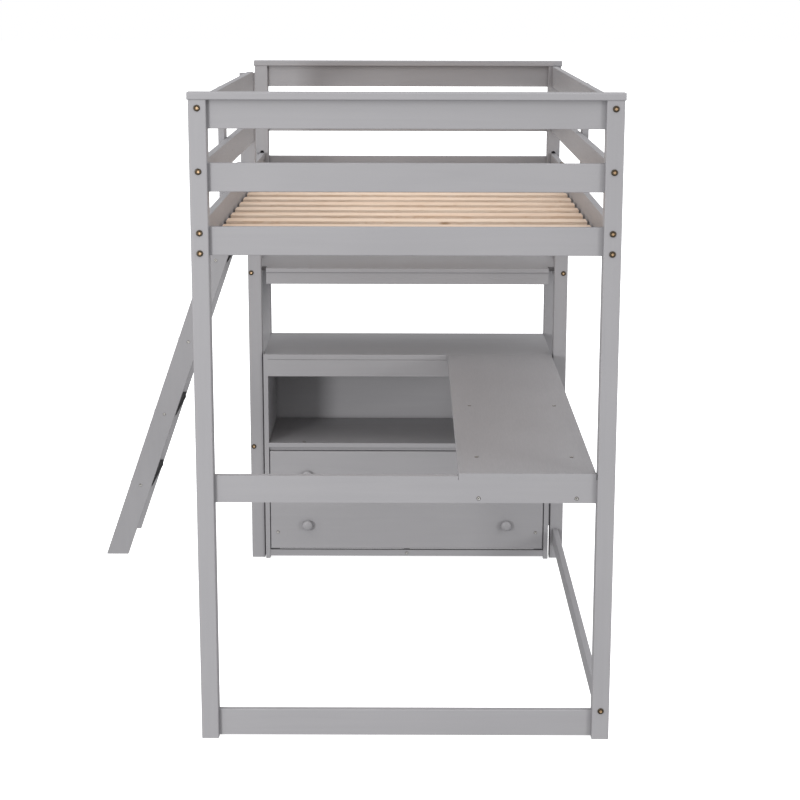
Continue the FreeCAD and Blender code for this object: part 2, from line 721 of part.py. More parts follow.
# ---- cabinet ------------------------------------------------------------------
def build_cabinet():
    front = near("@cabinet_front")
    depth = "(@cabinet_back - @cabinet_front)"
    inner_deep = f"({depth} - @back_thick)"
    ends = [board(f"cabinet_{side}_panel", (x, front, "0"),
                  ("@panel_thick", inner_deep, "@cabinet_top"), "z", ease=None)
            for side, x in (("left", CAB_LEFT),
                            ("right", f"{CAB_LEFT} + @cabinet_wide - @panel_thick"))]
    group("cabinet_end_panels", ends)
    board("cabinet_top_board", (CAB_IN_LEFT, front, PANEL_TOP),
          (CAB_IN_WIDE, inner_deep, "@top_thick"), "x")
    board("cabinet_apron",
          (CAB_IN_LEFT, front, f"{PANEL_TOP} - @apron_high"),
          (CAB_IN_WIDE, "@panel_thick", "@apron_high"), "x",
          [((f"@beam_{name}", front, "@beam_screw_level"),
            "y", "@screw_bore", "@panel_thick + @overrun") for name in ("inner", "outer")])
    board("cubby_shelf", (CAB_IN_LEFT, front, "@cubby_floor - @cubby_thick"),
          (CAB_IN_WIDE, inner_deep, "@cubby_thick"), "x",
          [(spot, "-z", "@screw_bore", "@cubby_thick + @overrun") for spot in stretcher_spots()])
    cross_rails()
    board("cabinet_back_panel", (CAB_LEFT, near("@cabinet_back - @back_thick"), "@back_low"),
          ("@cabinet_wide", "@back_thick", "@cabinet_top - @back_low"), "x", ease=None)
    runners = []
    for level in ("lower", "upper"):
        low = f"@{level}_front_low + @drawer_side_rise - @runner_play - @runner_high"
        for side, x in (("left", CAB_IN_LEFT),
                        ("right", f"{CAB_IN_LEFT} + {CAB_IN_WIDE} - @runner_wide")):
            runners.append(board(
                f"{level}_{side}_runner", (x, near("@cabinet_front + @runner_start"), low),
                ("@runner_wide", f"{inner_deep} - @runner_start", "@runner_high"), "y",
                ease=None))
    runners.append(board(
        "centre_bar", ("-@centre_bar_wide / 2", near(KICK_BACK), "@kick_low"),
        ("@centre_bar_wide", f"@cabinet_back - @back_thick - {KICK_BACK}", "@kick_high"), "y",
        [(("0", near(KICK_BACK), KICK_SCREW_LEVEL), "y", "@screw_bore",
          "@screw_long - @panel_thick + @overrun")], ease=None))
    group("drawer_runners", runners)


KICK_BACK = "(@cabinet_front + @kick_inset + @panel_thick)"
KICK_SCREW_LEVEL = "(@kick_low + @kick_high / 2)"


def stretcher_spots():
    """Screw heads on the cubby shelf, over the middle of the stretcher."""
    y = near("@cabinet_front + @stretcher_inset + @stretcher_deep / 2")
    return [(f"{sign} * @stretcher_screw_spread / 2", y, "@cubby_floor") for _, sign in SIDES]


def cross_rails():
    """Kick rail near the floor and the stretcher under the cubby shelf."""
    kick = board("kick_rail", (CAB_IN_LEFT, near("@cabinet_front + @kick_inset"), "@kick_low"),
                 (CAB_IN_WIDE, "@panel_thick", "@kick_high"), "x",
                 [(("0", near("@cabinet_front + @kick_inset"), KICK_SCREW_LEVEL), "y",
                   "@screw_bore", "@panel_thick + @overrun")])
    under = "(@cubby_floor - @cubby_thick)"
    holes = [((x, y, under), "-z", "@screw_bore", "@stretcher_high - @overrun")
             for x, y, _ in stretcher_spots()]
    stretcher = board("stretcher", (CAB_IN_LEFT, near("@cabinet_front + @stretcher_inset"),
                                    f"{under} - @stretcher_high"),
                      (CAB_IN_WIDE, "@stretcher_deep", "@stretcher_high"), "x", holes, ease=None)
    group("cabinet_cross_rails", [kick, stretcher])


# ---- drawers --------------------------------------------------------------------
SCREW_X = "(@drawer_wide / 2 - @drawer_side_thick / 2)"


def build_drawer(name):
    low = f"@{name}_front_low"
    box_low = f"({low} + @drawer_side_rise)"
    screw_z = f"{box_low} + @drawer_side_high / 2"
    front_y = near("@cabinet_front")
    back_y = near("@cabinet_front + @panel_thick")
    drawer_front(name, low, screw_z)
    sides = []
    for side, sign in SIDES:
        x = f"({sign} * {SCREW_X} - @drawer_side_thick / 2)"
        hole = ((f"{sign} * {SCREW_X}", back_y, screw_z), "y", "@screw_bore",
                "@screw_long - @panel_thick + @overrun")
        sides.append(board(f"{name}_{side}_box_side", (x, back_y, box_low),
                           ("@drawer_side_thick", "@drawer_side_deep", "@drawer_side_high"),
                           "y", [hole], ease=None))
    group(f"{name}_drawer_sides", sides)
    inner = "(@drawer_wide - 2 * @drawer_side_thick)"
    board(f"{name}_drawer_back",
          (f"-{inner} / 2",
           near("@cabinet_front + @panel_thick + @drawer_side_deep - @drawer_side_thick"), box_low),
          (inner, "@drawer_side_thick", "@drawer_side_high"), "x", ease=None)
    board(f"{name}_drawer_floor", (f"-{inner} / 2", back_y, f"{box_low} + @drawer_floor_rise"),
          (inner, "@drawer_side_deep - @drawer_side_thick", "@drawer_floor_thick"), "x",
          ease=None)
    knobs(name, front_y, f"{low} + {KNOB_RISE}")
    screws = [screw(f"{name}_{side}_side_screw", (f"{sign} * {SCREW_X}", front_y, screw_z), "y")
              for side, sign in SIDES]
    screws += [screw(f"{name}_{side}_knob_screw",
                     (f"{sign} * {NECK_X}", back_y, f"{low} + {KNOB_RISE}"), "-y",
                     "@panel_thick + @knob_long / 2")
               for side, sign in SIDES]
    group(f"{name}_drawer_screws", screws)


def drawer_front(name, low, screw_z):
    """Slab front with two knob holes and two screw holes."""
    body = doc.addObject("PartDesign::Body", f"{name}_front_body")
    face = sketch_on(body, "XZ_Plane", f"{name}_front_face")
    left = "(@cabinet_shift - @front_wide / 2)"
    right = "(@cabinet_shift + @front_wide / 2)"
    high = f"({low} + @front_high)"
    outline(face, [(left, low), (right, low), (right, high), (left, high)])
    pad(body, face, "@panel_thick", middle=True)
    doc.recompute()
    slab = body.Tip
    rim = body.newObject("PartDesign::Fillet", f"{name}_front_rim")
    rim.Base = (slab, front_rim_edges(slab.Shape))
    bind(rim, "Radius", "@front_ease")
    doc.recompute()
    spots = [(f"{sign} * {NECK_X}", f"{low} + {KNOB_RISE}") for _, sign in SIDES]
    spots += [(f"{sign} * {SCREW_X}", screw_z) for _, sign in SIDES]
    drill_through(body, "XZ_Plane", f"{name}_front_holes", spots, "@screw_bore")
    place(body, "0", near("@cabinet_front + @panel_thick / 2"), "0")
    keep(f"{name}_drawer_front", body)


def front_rim_edges(shape):
    """Edges around the face that looks toward -Y."""
    low_y = shape.BoundBox.YMin
    return [f"Edge{n}" for n, edge in enumerate(shape.Edges, start=1)
            if edge.BoundBox.YMax < low_y + SAME_PLANE]


def knobs(name, front_y, level):
    """Two turned knobs, each on a short neck against the drawer front."""
    turned = []
    for side, sign in SIDES:
        body = doc.addObject("PartDesign::Body", f"{name}_{side}_knob_body")
        half = sketch_on(body, "XY_Plane", f"{name}_{side}_knob_half")
        outline(half, [
            ("@screw_bore / 2", "0"), ("@knob_neck / 2", "0"),
            ("@knob_neck / 2", "-@knob_neck_long"), ("@knob_cheek / 2", "-@knob_flare_end"),
            ("@knob_size / 2", "-@knob_wide_start"), ("@knob_size / 2", "-@knob_wide_end"),
            ("@knob_cheek / 2", "-@knob_crown_start"), ("@knob_crown / 2", "-@knob_long"),
            ("0", "-@knob_long"), ("0", "-@knob_hole_deep"),
            ("@screw_bore / 2", "-@knob_hole_deep")])
        doc.recompute()
        turn = body.newObject("PartDesign::Revolution", f"{name}_{side}_knob_turn")
        turn.Profile = half
        turn.ReferenceAxis = (half, ["V_Axis"])
        turn.Angle = 360
        place(body, f"{sign} * {NECK_X}", front_y, level)
        keep(f"{name}_{side}_knob", body)
        turned.append(body)
    group(f"{name}_drawer_knobs", turned)


# ---- desk -----------------------------------------------------------------------
def desk_screw_spots():
    rows = ["@desk_screw_first", "@desk_screw_first + @desk_screw_pitch"]
    return [(f"@beam_{name}", near(row)) for name in ("inner", "outer") for row in rows]


def build_desk():
    bores = [((x, y, "@cabinet_top"), "-z", "@screw_bore", "@desk_thick + @overrun")
             for x, y in desk_screw_spots()]
    board("desk_board", ("@desk_left", near(END_RAIL_Y), DESK_FLOOR),
          ("@desk_wide", f"@cabinet_front - @desk_play - {END_RAIL_Y}", "@desk_thick"), "y",
          bores)
    beams = []
    start = f"({END_RAIL_Y} + @rail_thick)"
    stop = "@cabinet_front"
    for name in ("inner", "outer"):
        x = f"@beam_{name}"
        holes = [((x, y, DESK_FLOOR), "-z", "@screw_bore", "@screw_long - @desk_thick + @overrun")
                 for spot, y in desk_screw_spots() if spot == x]
        holes.append(((x, near(start), "@beam_screw_level"), "y", "@screw_bore",
                      "@screw_long - @rail_thick + @overrun"))
        holes.append(((x, near(stop), "@beam_screw_level"), "-y", "@screw_bore",
                      "@screw_long - @panel_thick + @overrun"))
        beams.append(board(f"{name}_beam", (f"{x} - @beam_thick / 2", near(start),
                                            f"{DESK_FLOOR} - @beam_high"),
                           ("@beam_thick", f"{stop} - {start}", "@beam_high"), "y", holes,
                           ease=None))
    group("desk_beams", beams)


# ---- ladder -----------------------------------------------------------------------
TREADS = ["@tread_one", "@tread_two", "@tread_three", "@tread_four"]


def stringer_mid(level):
    """X rule of the middle of a stringer at a height."""
    return f"(-@ladder_foot - @stringer_run / 2 + @ladder_slope * {level})"


def build_ladder():
    fronts = {"near": "@ladder_front",
              "far": "@ladder_front + @ladder_wide - @stringer_thick"}
    for name, start in fronts.items():
        stringer(f"ladder_{name}_stringer", start)
    treads = []
    span = "@ladder_wide - 2 * @stringer_thick"
    start = near("@ladder_front + @stringer_thick")
    for number, level in enumerate(TREADS):
        x = stringer_mid(level)
        bores = [((x, start, level), "y", "@screw_bore", "@screw_long - @stringer_thick + @overrun"),
                 ((x, near("@ladder_front + @ladder_wide - @stringer_thick"), level), "-y",
                  "@screw_bore", "@screw_long - @stringer_thick + @overrun")]
        treads.append(board(f"tread{number}", (f"{x} - @tread_deep / 2", start,
                                               f"{level} - @tread_thick / 2"),
                            ("@tread_deep", span, "@tread_thick"), "y", bores))
    group("ladder_treads", treads)
    group("tread_grip_strips", [grip_strip(number, level) for number, level in enumerate(TREADS)])


def grip_strip(number, level):
    """Thin angle folded over the inner top edge of a tread."""
    body = doc.addObject("PartDesign::Body", f"grip{number}_body")
    face = sketch_on(body, "XZ_Plane", f"grip{number}_face")
    edge = f"({stringer_mid(level)} + @tread_deep / 2)"
    top = f"({level} + @tread_thick / 2)"
    outline(face, [
        (f"{edge} - @grip_wide", top), (edge, top), (edge, f"{top} - @grip_drop"),
        (f"{edge} + @grip_thick", f"{top} - @grip_drop"),
        (f"{edge} + @grip_thick", f"{top} + @grip_thick"),
        (f"{edge} - @grip_wide", f"{top} + @grip_thick")])
    pad(body, face, "@ladder_wide - 2 * @stringer_thick", middle=True)
    place(body, "0", near("@ladder_front + @ladder_wide / 2"), "0")
    return keep(f"grip{number}", body)


def stringer(label, start):
    """Leaning side board, cut level at the floor and seated on the rail."""
    body = doc.addObject("PartDesign::Body", label + "_body")
    face = sketch_on(body, "XZ_Plane", label + "_face")
    foot_in = "-@ladder_foot"
    foot_out = "-@ladder_foot - @stringer_run"
    post_x = "(-@outer_width / 2 - @seat_gap)"
    rail_x = f"(-{RAIL_OUT_X} - @seat_gap)"
    head = "(@bed_side_low + @bed_side_high)"
    outline(face, [
        (foot_out, "0"), (foot_in, "0"),
        (post_x, f"({post_x} + @ladder_foot) / @ladder_slope"), (post_x, "@seat_low"),
        (rail_x, "@seat_low"), (rail_x, head),
        (f"{foot_out} + @ladder_slope * {head}", head)])
    pad(body, face, "@stringer_thick", middle=True)
    doc.recompute()
    drill_through(body, "XZ_Plane", label + "_screw_holes",
                  [(stringer_mid(level), level) for level in TREADS], "@screw_bore")
    head_holes(body, label)
    place(body, "0", near(f"{start} + @stringer_thick / 2"), "0")
    keep(label, body)


def head_holes(body, label):
    """Level pilot holes into the head of a stringer, from its seat."""
    for number, level in enumerate(LADDER_LEVELS):
        sketch = sketch_on(body, "YZ_Plane", f"{label}_head{number}")
        bind(sketch, "AttachmentOffset.Base.z", f"-{RAIL_OUT_X} - @seat_gap")
        blind_hole(body, sketch, ("0", level), "@screw_bore",
                   "@screw_long - @rail_thick + @overrun")


# ---- hardware ---------------------------------------------------------------------
def bolt_shape(shank):
    """Flat-head socket bolt along +Z; the head sits below z = 0."""
    head = Part.makeCylinder(dim("bolt_head") / 2, dim("head_thick"),
                             FreeCAD.Vector(0, 0, -dim("head_thick")))
    rim = [e for e in head.Edges
           if e.Curve.TypeId == "Part::GeomCircle" and e.BoundBox.ZMax < -dim("head_thick") / 2]
    head = head.makeFillet(dim("head_round"), rim)
    body = head.fuse(Part.makeCylinder(dim("bolt_size") / 2, shank)).removeSplitter()
    corner = dim("socket_size") / math.sqrt(3)
    ring = [FreeCAD.Vector(corner * math.cos(math.radians(60 * n)),
                           corner * math.sin(math.radians(60 * n)), -dim("head_thick"))
            for n in range(7)]
    socket = Part.Face(Part.makePolygon(ring)).extrude(
        FreeCAD.Vector(0, 0, dim("socket_deep")))
    return body.cut(socket)


def nut_shape(length, hole_axis):
    """Barrel nut along Z, centred, with its bolt hole across the middle."""
    barrel = Part.makeCylinder(dim("nut_size") / 2, length, FreeCAD.Vector(0, 0, -length / 2))
    start = AXES[hole_axis] * -dim("nut_size")
    hole = Part.makeCylinder(dim("bolt_bore") / 2, 2 * dim("nut_size"), start, AXES[hole_axis])
    return barrel.cut(hole)


def screw_shape(shank):
    """Low-head wood screw along +Z; the head sits below z = 0."""
    head = Part.makeCylinder(dim("screw_head") / 2, dim("screw_head_thick"),
                             FreeCAD.Vector(0, 0, -dim("screw_head_thick")))
    return head.fuse(Part.makeCylinder(dim("screw_size") / 2, shank)).removeSplitter()


def fastener(name, shape, spot, axis):
    item = doc.addObject("Part::Feature", name)
    item.Shape = shape
    item.Placement = FreeCAD.Placement(FreeCAD.Vector(), TURNS[axis])
    place(item, *spot)
    return item


def screw(name, spot, axis, long="@screw_long"):
    bound = doc.addObject("Part::Cylinder", name + "_length")
    bind(bound, "Height", long)
    doc.recompute()
    length = bound.Height.Value
    doc.removeObject(bound.Name)
    return fastener(name, screw_shape(length), spot, axis)


def build_bolts():
    """Connector bolts through the posts and the barrel nuts they draw on."""
    reach = dim("post_side") + dim("bolt_grip")
    bolts, nuts = [], []

    def joint(x, face, level, axis):
        """Bolt from a post face into a rail, and its nut across the rail."""
        sign = 1 if axis == "y" else -1
        spot = f"({face}) + {sign} * (@post_side + @nut_set)"
        bolts.append(fastener(f"bolt{len(bolts)}", bolt_shape(reach),
                              (x, near(face), level), axis))
        nuts.append(fastener(f"nut{len(nuts)}", nut_shape(dim("nut_long"), "y"),
                             (x, near(spot), level), "x"))

    for side, sign in SIDES:
        x = f"{sign} * {POST_X}"
        for level in GUARD_LEVELS:
            joint(x, "0", level, "y")
            if side == "right":
                joint(x, FAR_FACE, level, "-y")
            else:
                joint(x, "@gate_front + @post_side", level, "-y")
        for level in BED_LEVELS:
            joint(x, "0", level, "y")
            joint(x, FAR_FACE, level, "-y")
        for level in PAIR_LEVELS:
            joint(f"{sign} * {PAIR_X}", "@mid_post_front", level, "y")
            joint(f"{sign} * {PAIR_X}", FAR_FACE, level, "-y")
        drop_bolt(side, x, bolts, nuts)
    joint(POST_X, "0", BACK_LEVEL, "y")
    joint(POST_X, "@mid_post_front + @post_side", BACK_LEVEL, "-y")
    group("frame_bolts", bolts)
    group("barrel_nuts", nuts)


def drop_bolt(side, x, bolts, nuts):
    """Long bolt down through a bed side rail into the head of a mid post."""
    y = near("@mid_post_front + @post_side / 2")
    long = dim("bed_side_high") + dim("drop_bolt_bite")
    bolts.append(fastener(f"drop_bolt_{side}", bolt_shape(long),
                          (x, y, "@bed_side_low + @bed_side_high"), "-z"))
    nuts.append(fastener(f"drop_nut_{side}", nut_shape(dim("drop_nut_long"), "x"),
                         (x, y, "@bed_side_low - @nut_set"), "x"))


def build_wood_screws():
    items = []

    def add(spot, axis, long="@screw_long"):
        items.append(screw(f"wood_screw{len(items)}", spot, axis, long))

    for x, y in desk_screw_spots():
        add((x, y, "@cabinet_top"), "-z")
    for name in ("inner", "outer"):
        add((f"@beam_{name}", near(END_RAIL_Y), "@beam_screw_level"), "y")
        add((f"@beam_{name}", near("@cabinet_front + @panel_thick"), "@beam_screw_level"), "-y")
    for level in TREADS:
        add((stringer_mid(level), near("@ladder_front"), level), "y")
        add((stringer_mid(level), near("@ladder_front + @ladder_wide"), level), "-y")
    for side, sign in SIDES:
        stop = "@gate_front" if side == "left" else FAR_POST
        y = near(f"(({stop}) + @post_side) / 2")
        for level in STILE_LEVELS:
            add((f"{sign} * ({RAIL_OUT_X} + @rail_thick)", y, level),
                "x" if side == "left" else "-x", "2 * @rail_thick - @screw_stop")
    for level in BED_LEVELS:
        add((f"-{RAIL_IN_X} - @post_side", near("@gate_front + @post_side / 2"), level), "x",
            "@post_side - @screw_stop")
    for y in ladder_ys():
        for level in LADDER_LEVELS:
            add((f"-{RAIL_IN_X}", y, level), "-x")
    add(("0", near("@cabinet_front + @kick_inset"), KICK_SCREW_LEVEL), "y")
    for spot in stretcher_spots():
        add(spot, "-z", "@cubby_thick + @stretcher_high - @screw_stop")
    group("wood_screws", items)


# ---- build, check and write ----------------------------------------------------------
build_posts()
build_gate_post()
build_end_frames()
build_side_rails()
build_low_rails()
build_base()
build_shelf()
build_cabinet()
build_drawer("upper")
build_drawer("lower")
build_desk()
build_ladder()
build_bolts()
build_wood_screws()
doc.recompute()

for item in doc.Objects:
    if "Invalid" in item.State or "Error" in item.State:
        raise RuntimeError(f"{item.Name} is {item.State}")
for label, part in PARTS.items():
    shape = part.Shape
    if shape.isNull() or not shape.isValid() or not shape.Solids:
        raise RuntimeError(f"{label} has no valid solid")
    shape.exportStep(f"parts/{label}.step")
    print(f"{label}: {len(shape.Solids)} solid(s), {shape.Volume / 1000:.1f} cm3")
print(len(PARTS), "sub-parts")
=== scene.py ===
import json
import math

import bmesh
import bpy
from mathutils import Matrix, Vector


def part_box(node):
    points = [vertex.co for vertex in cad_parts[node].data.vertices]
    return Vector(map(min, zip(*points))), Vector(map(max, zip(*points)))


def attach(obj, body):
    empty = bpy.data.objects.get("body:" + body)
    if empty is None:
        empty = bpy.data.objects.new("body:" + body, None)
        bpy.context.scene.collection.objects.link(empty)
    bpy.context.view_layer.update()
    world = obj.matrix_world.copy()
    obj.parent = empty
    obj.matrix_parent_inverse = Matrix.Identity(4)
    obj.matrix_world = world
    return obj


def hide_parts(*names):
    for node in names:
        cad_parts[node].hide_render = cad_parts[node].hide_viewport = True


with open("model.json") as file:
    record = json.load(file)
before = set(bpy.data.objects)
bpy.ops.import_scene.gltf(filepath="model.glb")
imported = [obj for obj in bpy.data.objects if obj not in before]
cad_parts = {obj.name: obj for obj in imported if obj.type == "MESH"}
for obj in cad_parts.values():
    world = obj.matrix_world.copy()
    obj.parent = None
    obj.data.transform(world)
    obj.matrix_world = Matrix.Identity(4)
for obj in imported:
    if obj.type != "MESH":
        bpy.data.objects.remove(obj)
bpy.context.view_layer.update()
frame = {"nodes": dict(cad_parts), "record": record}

NODES = frame["nodes"]
SLOTS = {s["node"]: s["material_slot"] for s in frame["record"]["subparts"]}
MM = 0.001
TURN = 2.0 * math.pi

# looks
PAINTED_SHADE_REACH = 14.0 * MM       # how far painted shade darkens the paint from an inner corner
PAINTED_SHADE_DEPTH = 0.42            # share of painted shade in the tightest corner
PAINT_TONES = 5              # shifted copies of the paint, so that boards differ
EDGE_ROUND = 0.8 * MM        # sanded edge of a painted or bare board
SHARP_ANGLE = math.radians(40)

# fasteners and knobs
SOCKET_ACROSS = 6.0 * MM
SOCKET_DEEP = 2.2 * MM
BOLT_ROUND = 2.2 * MM
CROSS_ARM = 2.4 * MM
CROSS_HALF = 0.5 * MM
CROSS_DEEP = 0.9 * MM
SCREW_ROUND = 1.1 * MM
BOLT_SIDES = 36
SCREW_SIDES = 48
KNOB_SIDES = 48
BOLT_SHANK = 0.5             # shank radius over head radius
SCREW_SHANK = 0.4
ROUND_STEPS = 5              # rings over the rounded rim of a head
SPIN_STEP = 2.39996          # each recess is turned by this angle from the one before
KNOB_NECK = 0.47             # neck radius over knob radius
KNOB_FLARE = 0.93            # radius of the flare's end over knob radius
FLARE_STEPS = 9
CROWN_STEPS = 14
CROWN_DIP = 0.38             # part of a quarter turn that the crown starts below its widest ring
TOUCH = 1e-6                 # boxes closer than this belong to one solid

# stage
FLOOR_HALF = 60.0
FLOOR_GLOW = 0.82
SKY_BELOW, SKY_HORIZON, SKY_LOW, SKY_ZENITH = 0.36, 1.0, 0.36, 1.25
BOX_WIDE = 1.1
LEFT_POWER, RIGHT_POWER = 148.0, 66.0


# ---- node helpers ---------------------------------------------------------------
def new_material(name):
    material = bpy.data.materials.new(name)
    material.use_nodes = True
    tree = material.node_tree
    tree.nodes.clear()
    out = tree.nodes.new("ShaderNodeOutputMaterial")
    shader = tree.nodes.new("ShaderNodeBsdfPrincipled")
    tree.links.new(shader.outputs["BSDF"], out.inputs["Surface"])
    return material, tree, shader


def stretched_coords(tree, scale=(1.0, 1.0, 1.0), shift=(0.0, 0.0, 0.0)):
    """Object coordinates, scaled to stretch a pattern along the grain, and shifted."""
    coords = tree.nodes.new("ShaderNodeTexCoord")
    mapping = tree.nodes.new("ShaderNodeMapping")
    mapping.inputs["Scale"].default_value = scale
    mapping.inputs["Location"].default_value = shift
    tree.links.new(coords.outputs["Object"], mapping.inputs["Vector"])
    return mapping.outputs["Vector"]


def noise(tree, vector, scale, detail=3.0, rough=0.5, distortion=0.0):
    node = tree.nodes.new("ShaderNodeTexNoise")
    node.inputs["Scale"].default_value = scale
    node.inputs["Detail"].default_value = detail
    node.inputs["Roughness"].default_value = rough
    node.inputs["Distortion"].default_value = distortion
    tree.links.new(vector, node.inputs["Vector"])
    return node.outputs["Fac"]


def ramp(tree, value, stops):
    node = tree.nodes.new("ShaderNodeValToRGB")
    while len(node.color_ramp.elements) < len(stops):
        node.color_ramp.elements.new(0.5)
    for element, (position, colour) in zip(node.color_ramp.elements, stops):
        element.position = position
        element.color = (*colour, 1.0)
    tree.links.new(value, node.inputs["Fac"])
    return node.outputs["Color"]


def mix(tree, factor, a, b):
    """Colour between a and b; the factor is a number or a socket, a and b colours or sockets."""
    node = tree.nodes.new("ShaderNodeMix")
    node.data_type = "RGBA"
    if hasattr(factor, "is_linked"):
        tree.links.new(factor, node.inputs["Factor"])
    else:
        node.inputs["Factor"].default_value = factor
    # the colour sockets of a Mix node share their names with the number sockets
    colour_in = [s for s in node.inputs if s.type == "RGBA"]
    for socket, value in zip(colour_in, (a, b)):
        if hasattr(value, "is_linked"):
            tree.links.new(value, socket)
        else:
            socket.default_value = (*value, 1.0)
    return [s for s in node.outputs if s.type == "RGBA"][0]


def rescale(tree, value, low, high, from_low=0.0, from_high=1.0):
    node = tree.nodes.new("ShaderNodeMapRange")
    node.inputs["From Min"].default_value = from_low
    node.inputs["From Max"].default_value = from_high
    node.inputs["To Min"].default_value = low
    node.inputs["To Max"].default_value = high
    tree.links.new(value, node.inputs["Value"])
    return node.outputs["Result"]


def bump(tree, shader, height, distance, strength=1.0):
    node = tree.nodes.new("ShaderNodeBump")
    node.inputs["Distance"].default_value = distance
    node.inputs["Strength"].default_value = strength
    tree.links.new(height, node.inputs["Height"])
    tree.links.new(node.outputs["Normal"], shader.inputs["Normal"])


GRAIN_SCALE = {"x": (0.05, 1.0, 1.0), "y": (1.0, 0.05, 1.0), "z": (1.0, 1.0, 0.05)}


# ---- materials --------------------------------------------------------------------
def grey_paint(axis, shift):
    """Satin sprayed grey paint over planed pine, with the grain faintly showing and painted shade in
    inner corners.
    """
    material, tree, shader = new_material(f"grey_paint_{axis}_{shift:.0f}")
    grain = stretched_coords(tree, GRAIN_SCALE[axis], (shift, shift * 0.7, shift * 0.3))
    plain = stretched_coords(tree, shift=(shift, 0.0, 0.0))
    fibres = noise(tree, grain, 420.0, 4.0, 0.62, 0.3)
    figure = noise(tree, grain, 42.0, 2.0, 0.5, 1.4)
    cloud = noise(tree, plain, 3.0, 2.0, 0.5)
    peel = noise(tree, plain, 900.0, 1.0, 0.5)
    tone = ramp(tree, figure, ((0.30, (0.345, 0.340, 0.352)), (0.70, (0.367, 0.361, 0.373))))
    cast = ramp(tree, cloud, ((0.30, (0.341, 0.336, 0.348)), (0.72, (0.373, 0.367, 0.379))))
    colour = mix(tree, 0.5, tone, cast)
    # painted shade: an occlusion test darkens the paint towards inner corners and under ledges, where
    # shade falls
    corner = tree.nodes.new("ShaderNodeAmbientOcclusion")
    corner.samples = 8
    corner.inputs["Distance"].default_value = PAINTED_SHADE_REACH
    painted_corner_shade = rescale(tree, corner.outputs["AO"], PAINTED_SHADE_DEPTH, 0.0, 0.35, 0.95)
    colour = mix(tree, painted_corner_shade, colour, (0.085, 0.080, 0.090))
    tree.links.new(colour, shader.inputs["Base Color"])
    tree.links.new(rescale(tree, fibres, 0.40, 0.54, 0.3, 0.7), shader.inputs["Roughness"])
    height = tree.nodes.new("ShaderNodeMath")
    height.operation = "MULTIPLY_ADD"
    height.inputs[1].default_value = 0.35
    tree.links.new(peel, height.inputs[0])
    tree.links.new(fibres, height.inputs[2])
    bump(tree, shader, height.outputs[0], 0.00012, 0.8)
    shader.inputs["Specular IOR Level"].default_value = 0.42
    return material


def pine():
    """Planed bare pine: growth lines along the board, a few knots."""
    material, tree, shader = new_material("bare_pine")
    grain = stretched_coords(tree, (1.1, 14.0, 14.0))
    rings = noise(tree, grain, 6.5, 3.0, 0.55, 1.1)
    fine = noise(tree, stretched_coords(tree, (2.0, 90.0, 90.0)), 9.0, 4.0, 0.65, 0.2)
    board = noise(tree, stretched_coords(tree, (0.35, 5.6, 0.0)), 2.0, 1.0, 0.4)
    early = ramp(tree, rings, ((0.30, (0.93, 0.75, 0.60)), (0.46, (0.88, 0.68, 0.52)),
                               (0.53, (0.72, 0.48, 0.31)), (0.60, (0.92, 0.72, 0.56))))
    pale = ramp(tree, board, ((0.35, (0.95, 0.80, 0.66)), (0.65, (0.86, 0.64, 0.48))))
    wood = mix(tree, 0.45, early, pale)
    cells = tree.nodes.new("ShaderNodeTexVoronoi")
    cells.inputs["Scale"].default_value = 1.0
    spread = stretched_coords(tree, (3.6, 9.0, 9.0), (0.31, 0.17, 0.0))
    tree.links.new(spread, cells.inputs["Vector"])
    knot = rescale(tree, cells.outputs["Distance"], 0.75, 0.0, 0.03, 0.07)
    wood = mix(tree, knot, wood, (0.44, 0.25, 0.13))
    wood = mix(tree, rescale(tree, fine, 0.0, 0.25, 0.45, 0.75), wood, (0.52, 0.32, 0.18))
    tree.links.new(wood, shader.inputs["Base Color"])
    tree.links.new(rescale(tree, fine, 0.55, 0.72), shader.inputs["Roughness"])
    bump(tree, shader, fine, 0.00025, 0.7)
    shader.inputs["Specular IOR Level"].default_value = 0.3
    return material


def plated(name, low, high, rough):
    """Plated steel with fine turning marks and a mottled tone."""
    material, tree, shader = new_material(name)
    plain = stretched_coords(tree)
    mottle = noise(tree, plain, 260.0, 3.0, 0.6)
    tree.links.new(ramp(tree, mottle, ((0.3, low), (0.7, high))), shader.inputs["Base Color"])
    tree.links.new(rescale(tree, mottle, rough, rough + 0.14, 0.3, 0.7), shader.inputs["Roughness"])
    bump(tree, shader, noise(tree, plain, 2200.0, 2.0), 0.00003, 0.5)
    shader.inputs["Metallic"].default_value = 1.0
    return material


def matt_black_strip():
    """Matt near-black strip with a sandy surface."""
    material, tree, shader = new_material("black_grip")
    plain = stretched_coords(tree)
    sand = noise(tree, plain, 1400.0, 2.0, 0.7)
    tree.links.new(ramp(tree, sand, ((0.35, (0.018, 0.018, 0.019)), (0.7, (0.060, 0.059, 0.060)))),
                   shader.inputs["Base Color"])
    tree.links.new(rescale(tree, sand, 0.7, 0.95), shader.inputs["Roughness"])
    bump(tree, shader, sand, 0.0004, 0.9)
    shader.inputs["Specular IOR Level"].default_value = 0.3
    return material


# painted shade: near-black plating that stands for the shade round the fastener heads and inside
# their recesses
PAINTED_SHADE_METAL = plated("painted_shade_metal", (0.06, 0.05, 0.035), (0.13, 0.10, 0.07), 0.42)
YELLOW_ZINC = plated("yellow_zinc", (0.62, 0.42, 0.24), (0.88, 0.66, 0.42), 0.34)
STEEL = plated("zinc_steel", (0.55, 0.54, 0.52), (0.78, 0.77, 0.74), 0.32)
PINE = pine()
BLACK_STRIP = matt_black_strip()
PLAIN_FINISHES = {"bare_pine": PINE, "yellow_zinc": YELLOW_ZINC, "steel": STEEL, "black_grip": BLACK_STRIP}
PAINTS = {}


def paint_for(axis, group):
    key = (axis, group)
    if key not in PAINTS:
        PAINTS[key] = grey_paint(axis, 3.0 * group)
    return PAINTS[key]


